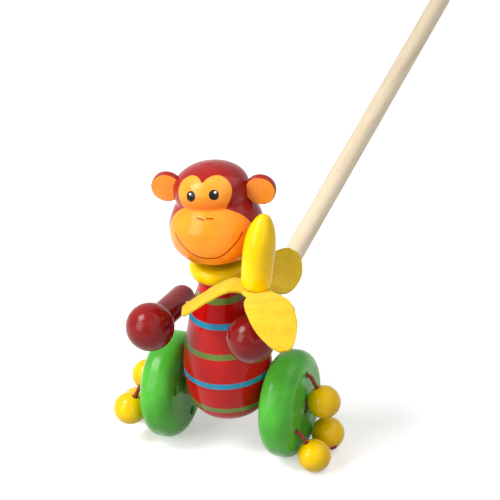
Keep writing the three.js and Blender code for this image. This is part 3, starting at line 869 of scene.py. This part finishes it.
def make_ears():
    n, bark = painted("ear_paint", BARK, dark=0.84)
    orange = n.blend(n.clouds(75.0), linear(EAR_ORANGE), linear(EAR_PALE))
    n.surface({"Base Color": n.blend(n.within(n.field("ear_front"), 0.0, PAINT_EDGE), bark, orange)})
    flat = EAR_RADIUS - EAR_EDGE
    line = [(r, 0.0) for r in np.linspace(0, flat, 12)[:-1]]
    line += arc((flat, EAR_EDGE), EAR_EDGE, -90, 0, 6)
    line += arc((flat, EAR_THICK - EAR_EDGE), EAR_EDGE, 0, 90, 6)
    line += [(EAR_RADIUS / 2, EAR_THICK), (0, EAR_THICK)]
    for name, side in (("left", 1), ("right", -1)):
        centre = Matrix.Translation((side * EAR_CENTRE, EAR_FRONT, EAR_Z))
        place = TURNED @ centre @ spin(-90, "X")
        thing = crisp(revolve(f"painted_ear_{name}", line, 96, place), 50)
        local = np.array([list(place.inverted() @ Vector(p)) for p in layout_points(thing)])
        away = np.hypot(local[:, 0], local[:, 1]) - (EAR_RADIUS - EAR_EDGE * EAR_PAINT_WIDTH_SHARE)
        deep = local[:, 2] - EAR_EDGE * EAR_PAINT_DEPTH_SHARE
        add_field(thing, "ear_front", np.maximum(away, deep))
        dress(thing, n, "head", [f"ear_{name}"])


make_ears()

# Arms
SHOULDER_Z = 84.0
ARM_X = 29.3
ARM_RADIUS = 7.6
HAND_REACH = 33.7
HAND_RADIUS = 13.3
WRIST_EASE = 1.2
# Each arm: its sign along X, its rise and the length of its tail
ARMS = {"left": (1, 15.0, 12.5), "right": (-1, 10.7, 9.9)}


def make_arms():
    n, _ = painted("arm_paint", HAND, dark=0.82, grain=PAINTED_GRAIN_Y)
    wrist = degrees(asin(ARM_RADIUS / HAND_RADIUS))
    hand = arc((0, HAND_REACH), HAND_RADIUS, -90 + wrist, 90, 44)
    for name, (side, rise, tail_length) in ARMS.items():
        tail = arc((0, -tail_length), ARM_RADIUS, -90, 0, 22)
        shaft = [(ARM_RADIUS, h) for h in np.linspace(-tail_length, hand[0][1], 16)[1:-1]]
        line = eased(tail + shaft + hand, len(tail) + len(shaft), WRIST_EASE, 6)
        shoulder = Matrix.Translation((side * ARM_X, 0, SHOULDER_Z))
        place = shoulder @ spin(-rise, "X") @ spin(90, "X")
        thing = revolve(f"painted_arm_{name}", line, 112, place)
        dress(thing, n, "arms", [f"arm_{name}"])


make_arms()

# Banana
FOOT = Vector((30.8, -25.3, 118.4))
BACK_TILT = radians(14.5)
SIDE_TILT = radians(5.1)
UPRIGHT = cos(SIDE_TILT)
BANANA_AXIS = Vector((sin(SIDE_TILT), sin(BACK_TILT) * UPRIGHT, cos(BACK_TILT) * UPRIGHT))
BANANA_BOW = 0.7
BANANA_LENGTH = 42.0
BANANA_FLAT = 3
BANANA_EASE = 1.0
BANANA_OUTLINE = [
    (5.8, 0), (7.5, 1.6), (8.3, 6.1), (8.5, 13.3), (8.6, 20.4), (8.2, 27.3), (6.9, 33.4),
    (5.1, 37.6), (2.9, 40.7), (0, BANANA_LENGTH),
]
FELT_THICK = 1.8


def make_banana():
    line = [(0, 0), (BANANA_FLAT, 0)] + smooth_line(BANANA_OUTLINE, 90)
    thing = revolve("painted_banana", eased(line, 2, BANANA_EASE), 96)
    place = on_axis(FOOT, BANANA_AXIS)
    for vertex in thing.data.vertices:
        p = vertex.co / MM + KNOB
        share = min(1.0, max(0.0, p.z / BANANA_LENGTH))
        p.x -= BANANA_BOW * 4 * share * (1 - share)
        p.z += FELT_THICK / 2 + SEAT_GAP
        vertex.co = TO_ROW @ (place @ p)
    thing.data.update()
    n, _ = painted("banana_paint", BANANA, dark=0.9)
    dress(thing, n, "arms", ["banana"])


make_banana()

# Felt peel
FELT_HUB = 8.5
FELT_CUP = 0.9
FELT_VOXEL = 0.36
PETAL_LENGTH = 54.0
PETAL_WIDTH = 26.4
PETAL_WIDTH_SHARES = [
    (0, 0.58), (0.15, 0.5), (0.3, 0.83), (0.45, 0.95), (0.6, 0.94), (0.75, 0.85),
    (0.87, 0.64), (0.95, 0.44), (1, 0.2),
]
BLUNT_WIDTH_SHARES = [
    (0, 0.5), (0.15, 0.43), (0.3, 0.7), (0.45, 0.8), (0.6, 0.83), (0.75, 0.86),
    (0.87, 0.88), (0.95, 0.82), (1, 0.6),
]
# A petal's path from the peg, outward and upward
RIGHT_PATH_SHARES = [(0, 0), (0.234, 0.051), (0.433, -0.051), (0.605, -0.18), (0.763, -0.298)]
FRONT_PATH_SHARES = [(0, 0), (0.194, 0.048), (0.452, 0.083), (0.71, 0.002), (0.948, -0.123)]
BACK_PATH_SHARES = [(0, 0), (0.189, -0.065), (0.445, -0.113), (0.714, -0.137), (0.983, -0.116)]
# Each petal's heading about the peg, its twist, its path, its widths, and how far askew its tip is cut
PETALS = [
    (188.5, 8.0, RIGHT_PATH_SHARES, BLUNT_WIDTH_SHARES, 6.5),
    (307.5, -4.6, FRONT_PATH_SHARES, PETAL_WIDTH_SHARES, 0.0),
    (88.7, 23.4, BACK_PATH_SHARES, PETAL_WIDTH_SHARES, 0.0),
]
SKEW_FROM_SHARE = 0.5
TWIST_SHARE = 1 / 3
# The outline's corners are softened over this share of the length, except at the tip
SOFT_SHARE = 0.05
TIP_SHARE = 0.9
SLOPE_REACH = 0.3
# Waves that make the felt uneven: their length and their weight
LUMPS = ((11.0, 0.03), (3.0, 0.01), (1.2, 0.008))
LUMP_WAVES = 7
LUMP_PHASE = 6.28
LUMP_RELIEF = 0.55


def petal_grid(heading, twist, path_shares, steps):
    """Shares of the length, points, side vectors and normals of a petal's middle line."""
    turn = radians(heading)
    outward_way = Vector((cos(turn), sin(turn), 0))
    side_way = Vector((-outward_way.y, outward_way.x, 0))
    up = Vector((0, 0, 1))
    knots = [outward_way * (o * PETAL_LENGTH) + up * (u * PETAL_LENGTH) for o, u in path_shares]
    line = np.array([tuple(p) for p in centripetal(knots, 60)])
    along = distance_along(line)
    rows = []
    for i in range(steps + 1):
        share = i / steps
        at = share * along[-1]
        centre = Vector(at_distance(line, along, at))
        ahead = Vector(at_distance(line, along, min(at + SLOPE_REACH, along[-1])))
        back = Vector(at_distance(line, along, max(at - SLOPE_REACH, 0)))
        tangent = (ahead - back).normalized()
        side = Quaternion(tangent, radians(twist) * min(1, share / TWIST_SHARE)) @ side_way
        rows.append((share, centre + FOOT, side, tangent.cross(side).normalized()))
    return rows


def petal_half_width(share, width_shares):
    """Half of the petal's width."""
    table = np.array(width_shares)
    value = np.interp(share, table[:, 0], table[:, 1])
    if share < TIP_SHARE:
        around = [min(1, max(0, share + d)) for d in (-SOFT_SHARE, SOFT_SHARE)]
        value = value / 2 + sum(np.interp(around, table[:, 0], table[:, 1])) / 4
    return value * PETAL_WIDTH / 2


def petal_solid(name, heading, twist, path_shares, width_shares, skew):
    """A closed petal: a cupped strip of felt between its two long edges."""
    steps, across = 70, 20
    vertices = []
    for share, centre, side, normal in petal_grid(heading, twist, path_shares, steps):
        half = petal_half_width(share, width_shares)
        cup = FELT_CUP * sin(pi * min(1, share)) * (half / (PETAL_WIDTH / 2)) ** 2
        to_tip = max(0, (share - SKEW_FROM_SHARE) / (1 - SKEW_FROM_SHARE))
        askew = side.cross(normal) * (-skew / 2 * to_tip**2)
        for face in (1, -1):
            for j in range(across + 1):
                v = (2 * j / across - 1) * face
                crown = cup * (1 - v * v) - cup * 0.5
                rise = face * FELT_THICK / 2 + crown
                vertices.append(centre + (side * half + askew) * v + normal * rise)
    width = 2 * (across + 1)
    rows = full_rows(steps + 1, width)
    return solid(name, vertices, skin(rows, width) + [tuple(rows[0]), tuple(reversed(rows[-1]))])


def joined_peel():
    """The three petals and their hub as one soft-edged piece."""
    half = FELT_THICK / 2
    hub_line = [(0, -half), (FELT_HUB, -half), (FELT_HUB, half), (0, half)]
    pieces = [petal_solid(f"petal_{i}", *petal) for i, petal in enumerate(PETALS)]
    pieces.append(revolve("felt_hub", hub_line, 48, on_axis(FOOT, BANANA_AXIS)))
    work = bmesh.new()
    for piece in pieces:
        work.from_mesh(piece.data)
    thing = new_object("felt_peel", [], [])
    work.to_mesh(thing.data)
    work.free()
    for piece in pieces:
        bpy.data.objects.remove(piece)
    merge = thing.modifiers.new("merge", "REMESH")
    set_up(merge, mode="VOXEL", voxel_size=FELT_VOXEL * MM, use_smooth_shade=True)
    relax = thing.modifiers.new("relax", "SMOOTH")
    set_up(relax, factor=0.5, iterations=3)
    apply_modifiers(thing)
    return thing


def make_lumpy(thing):
    """Moves the felt's surface in and out a little."""
    co = vertex_values(thing)
    local = co / MM
    rng = np.random.default_rng(SEED)
    lumps = np.zeros(len(co))
    for size, weight in LUMPS:
        for _ in range(LUMP_WAVES):
            way = rng.normal(size=3)
            way /= np.linalg.norm(way)
            lumps += weight * np.sin(local @ way * 2 * pi / size + rng.uniform(0, LUMP_PHASE))
    co += vertex_values(thing, "normal") * (lumps * LUMP_RELIEF * MM)[:, None]
    thing.data.vertices.foreach_set("co", co.ravel())
    thing.data.shade_smooth()
    thing.data.update()


def felt_material():
    n = Looks("yellow_felt")
    fibre = n.noise(1150.0, 4.0, 0.7, distortion=1.2)
    strands = n.noise(1.0, 5.0, 0.5, n.moved((0, 0, 40), (420.0, 2600.0, 420.0)), 2.2)
    crossed = n.noise(1.0, 5.0, 0.5, n.moved((30, 0, -35), (2600.0, 420.0, 420.0)), 2.2)
    hair = n.math("MAXIMUM", strands, crossed)
    tint = n.blend(n.clouds(130.0, 3.0), linear(FELT), linear(FELT_PALE))
    # Pale strands of the felt: its fibres, with painted highlights on loose hairs
    tint = n.blend(n.spread(hair, 0.5, 0.72, 0.0, 0.55), tint, linear(FELT_HAIR_HIGHLIGHT))
    tint = n.blend(n.spread(fibre, 0.36, 0.56, 0.62, 0.0), tint, linear(FELT_DEEP))
    relief = n.bump(fibre, 0.6, 0.0004, n.bump(hair, 0.5, 0.0004))
    n.surface({"Base Color": tint, "Roughness": 0.92, "Normal": relief})
    n.surface({"Sheen Weight": 0.5, "Sheen Roughness": 0.5, "Sheen Tint": linear(FELT_SHEEN)})
    n.surface({"Specular IOR Level": 0.2})
    return n


def make_peel():
    thing = joined_peel()
    make_lumpy(thing)
    dress(thing, felt_material(), "arms", ["banana_peel"])


make_peel()

# Wheels
HOLE_EASE = 0.45
HOLE_STEP = 0.01
CUT_OVERRUN = 1


def wheel_cutter(side, turn):
    """A stepped tether hole with eased mouths."""
    thick = 2 * WHEEL_HALF
    narrow, wide = HOLE_NARROW + HOLE_EASE, HOLE_WIDE + HOLE_EASE
    low, high = -CUT_OVERRUN, thick + CUT_OVERRUN
    line = [(0, low), (narrow + CUT_OVERRUN, low), (narrow, 0), (HOLE_NARROW, HOLE_EASE)]
    line += [(HOLE_NARROW, NARROW_DEPTH), (HOLE_WIDE, NARROW_DEPTH + HOLE_STEP)]
    line += [(HOLE_WIDE, thick - HOLE_EASE), (wide, thick), (wide + CUT_OVERRUN, high), (0, high)]
    return revolve("hole", line, 40, on_axis(hole_mouth(side, turn), (-side, 0, 0)))


def make_wheels():
    n, _ = painted("green_paint", GREEN, dark=0.8, gloss=(0.16, 0.28), grain=PAINTED_GRAIN_X)
    flat = WHEEL_RADIUS - WHEEL_EDGE
    bore = AXLE_RADIUS + AXLE_CLEARANCE
    line = [(bore, -WHEEL_HALF), (flat, -WHEEL_HALF)]
    line += arc((flat, -WHEEL_HALF + WHEEL_EDGE), WHEEL_EDGE, -90, 0, 22)[1:]
    line += [(WHEEL_RADIUS, 0)]
    line += arc((flat, WHEEL_HALF - WHEEL_EDGE), WHEEL_EDGE, 0, 90, 22)
    line += [(bore, WHEEL_HALF)]
    for name, (side, phase, rests) in SIDES.items():
        place = Matrix.Translation((side * WHEEL_X, 0, WHEEL_RADIUS)) @ spin(90, "Y")
        thing = revolve(f"painted_wheel_{name}", line, 180, place, closed=True)
        cut(thing, [wheel_cutter(side, phase + HOLE_APART * i) for i in range(len(rests))])
        thing.data.shade_smooth()
        dress(crisp(thing, 30), n, "wheelset", [f"wheel_{name}"])


make_wheels()

# Bare wood: stick, knob, axle, dowels and pins
# Scales that stretch the grain along one axis
GRAIN_X = (9.0, 330.0, 330.0)
GRAIN_Y = (330.0, 9.0, 330.0)
GRAIN_Z = (330.0, 330.0, 9.0)
DEEP_WOOD_SHARES = (0.86, 0.78, 0.66)
STICK_RISE = 5.6
STICK_SLOPE = radians(STICK_RISE)
STICK_RADIUS = 6.0
STICK_SEAT_Y = 5
STICK_SEAT_Z = 48.1
STICK_START = Vector((0, STICK_SEAT_Y, STICK_SEAT_Z + STICK_SEAT_Y * tan(STICK_SLOPE)))
STICK_WAY = Vector((0, cos(STICK_SLOPE), sin(STICK_SLOPE)))
STICK_LENGTH = 520.0
KNOB_RADIUS = 15.0
DOWEL_EDGE = 0.6
THIN_DOWEL = 3.0
SHOULDER_END_X = 33.5
NECK_DOWEL = 4.0
NECK_DOWEL_Z = 90.5
NECK_DOWEL_LENGTH = 47.5
PEG_BELOW = 24
PEG_LENGTH = 38.0
PIN_START = 12.5
PIN_RADIUS = 1.6
PIN_LENGTH = 14.5
PIN_EDGE = 0.3


def wood_material(name, colour, turn, grain):
    """Sanded wood; the long axis of the grain has the smallest scale."""
    n = Looks(name)
    base = linear(colour)
    deep = (*(c * k for c, k in zip(base, DEEP_WOOD_SHARES)), 1.0)
    place = n.moved(turn, grain)
    fine = n.noise(1.0, 5.0, 0.6, place)
    broad = n.noise(0.22, 3.0, 0.5, place, 0.8)
    pores = n.noise(3.2, 3.0, 0.6, place)
    tint = n.blend(n.spread(broad, 0.35, 0.68, 0.0, 1.0), base, shaded(base, 1.1))
    tint = n.blend(n.spread(fine, 0.48, 0.78, 0.0, 0.75), tint, deep)
    tint = n.blend(n.spread(pores, 0.62, 0.75, 0.0, 0.5), tint, shaded(deep, 0.7))
    relief = n.bump(pores, 0.1, 0.0002, n.bump(fine, 0.12, 0.0003))
    n.surface({"Base Color": tint, "Roughness": n.spread(fine, 0.3, 0.7, 0.42, 0.6), "Normal": relief})
    return n


def dowel(name, radius, start, way, length, edge, sides):
    line = [(0, 0), (radius, 0), (radius, length), (0, length)]
    line = eased(line, 2, edge, 4)
    line = eased(line, 1, edge, 4)
    return crisp(revolve(name, line, sides, on_axis(start, way)), 40)


def make_stick():
    wood = wood_material("stick_wood", WOOD, (-STICK_RISE, 0, 0), GRAIN_Y)
    stick = dowel("wooden_stick", STICK_RADIUS, STICK_START, STICK_WAY, STICK_LENGTH, DOWEL_EDGE, 96)
    dress(stick, wood, "monkey", ["push_stick"])
    outline = arc((0, 0), KNOB_RADIUS, -90, 90, 60)
    knob = revolve("wooden_knob", outline, 96, on_axis(KNOB, STICK_WAY))
    dress(knob, wood, "monkey", ["stick_knob"])


make_stick()


def make_dowels():
    axle = (AXLE_RADIUS, (-AXLE_END_X, 0, WHEEL_RADIUS), (1, 0, 0), 2 * AXLE_END_X)
    shoulder = (THIN_DOWEL, (-SHOULDER_END_X, 0, SHOULDER_Z), (1, 0, 0), 2 * SHOULDER_END_X)
    neck = (NECK_DOWEL, (0, 0, NECK_DOWEL_Z), (0, 0, 1), NECK_DOWEL_LENGTH)
    peg = (THIN_DOWEL, FOOT - BANANA_AXIS * PEG_BELOW, BANANA_AXIS, PEG_LENGTH)
    plans = {
        # The axle's darker wood is painted shade
        "axle": ("wheelset", SHADED_AXLE_WOOD, GRAIN_X, axle),
        "shoulder_dowel": ("arms", BARE_WOOD, GRAIN_X, shoulder),
        "neck_dowel": ("monkey", BARE_WOOD, GRAIN_Z, neck),
        "banana_peg": ("arms", BARE_WOOD, GRAIN_Z, peg),
    }
    for name, (body, colour, grain, sizes) in plans.items():
        wood = wood_material(f"{name}_wood", colour, (0, 0, 0), grain)
        dress(dowel(f"wooden_{name}", *sizes, DOWEL_EDGE, 48), wood, body, [name])


def make_ear_pins():
    wood = wood_material("pin_wood", BARE_WOOD, (0, 0, -HEAD_TURN), GRAIN_X)
    for name, side in (("left", 1), ("right", -1)):
        start = TURNED @ Vector((side * PIN_START, EAR_FRONT + EAR_THICK / 2, EAR_Z))
        way = TURNED @ Vector((side, 0, 0))
        thing = dowel(f"wooden_ear_pin_{name}", PIN_RADIUS, start, way, PIN_LENGTH, PIN_EDGE, 32)
        dress(thing, wood, "head", [f"ear_pin_{name}"])


make_dowels()
make_ear_pins()

# Floor and world, in metres and shares of full white
FLOOR_SIZE = 6.0
FLOOR_WHITE = 0.93
FLOOR_BOUNCE = 0.32
# The floor's own glow, by the distance from the knob at which it starts and stops growing
GLOW_NEAR, GLOW_FAR = 0.8, 1.45
GLOW_LEAST, GLOW_MOST = 0.35, 1.0
WORLD_LIGHT = 0.16


def grey(level):
    return (level, level, level, 1)


def show(n, lighting, seen, output):
    """One shader for rays that carry light, another for rays of the camera, of gloss and of glass."""
    rays = n.add("ShaderNodeLightPath").outputs
    direct = n.math("MAXIMUM", rays["Is Camera Ray"], rays["Is Glossy Ray"])
    direct = n.math("MAXIMUM", direct, rays["Is Transmission Ray"])
    mix = n.add("ShaderNodeMixShader", {0: direct, 1: lighting.outputs[0], 2: seen.outputs[0]})
    n.add(output, {0: mix.outputs[0]})


def make_stage():
    z = -KNOB.z * MM
    corners = [(x * FLOOR_SIZE, y * FLOOR_SIZE, z) for x, y in ((-1, -1), (1, -1), (1, 1), (-1, 1))]
    floor = new_object("floor", corners, [(0, 1, 2, 3)])
    n = Nodes(bpy.data.materials.new("floor"))
    away = n.add("ShaderNodeVectorMath", {0: n.coordinates()}, operation="LENGTH").outputs["Value"]
    strength = n.spread(away, GLOW_NEAR, GLOW_FAR, GLOW_LEAST, GLOW_MOST, "LINEAR")
    glow = n.add("ShaderNodeEmission", {"Color": grey(1), "Strength": strength})
    white = n.add("ShaderNodeBsdfDiffuse", {"Color": grey(FLOOR_WHITE)})
    bounce = n.add("ShaderNodeBsdfDiffuse", {"Color": grey(FLOOR_BOUNCE)})
    seen = n.add("ShaderNodeAddShader", {0: white.outputs[0], 1: glow.outputs[0]})
    show(n, bounce, seen, "ShaderNodeOutputMaterial")
    floor.data.materials.append(n.owner)


make_stage()


def make_world():
    world = bpy.data.worlds.new("studio")
    bpy.context.scene.world = world
    n = Nodes(world)
    lighting = n.add("ShaderNodeBackground", {"Color": grey(1), "Strength": WORLD_LIGHT})
    seen = n.add("ShaderNodeBackground", {"Color": grey(1), "Strength": 1.0})
    show(n, lighting, seen, "ShaderNodeOutputWorld")


make_world()

# Lamps
AIM = Vector((0, -10, 90))
# Each lamp: its direction as right, up and towards the camera, its distance, width and height in
# metres, and its power
LAMPS = {
    "key": ((-0.62, 0.62, 0.48), 0.9, 0.38, 0.38, 7.3),
    "window": ((-0.76, 0.08, 0.64), 1.0, 0.5, 0.65, 5.6),
    "fill": ((0.42, 0.12, 0.9), 1.2, 1.3, 1.3, 5.2),
    "side": ((0.6, 0.74, 0.3), 1.1, 0.7, 0.9, 3.8),
}


def softbox(name, toward, distance, width, height, power):
    """An area lamp that looks at the toy."""
    way = (VIEW_RIGHT * toward[0] + VIEW_UP * toward[1] - VIEW_LOOK * toward[2]).normalized()
    data = bpy.data.lights.new(name, "AREA")
    set_up(data, shape="RECTANGLE", size=width, size_y=height, energy=power)
    lamp = in_scene(name, data)
    lamp.location = TO_ROW @ AIM + way * distance
    lamp.rotation_mode = "QUATERNION"
    lamp.rotation_quaternion = (-way).to_track_quat("-Z", "Y")


for name, values in LAMPS.items():
    softbox(name, *values)

scene = bpy.context.scene
scene.view_settings.view_transform = "Standard"
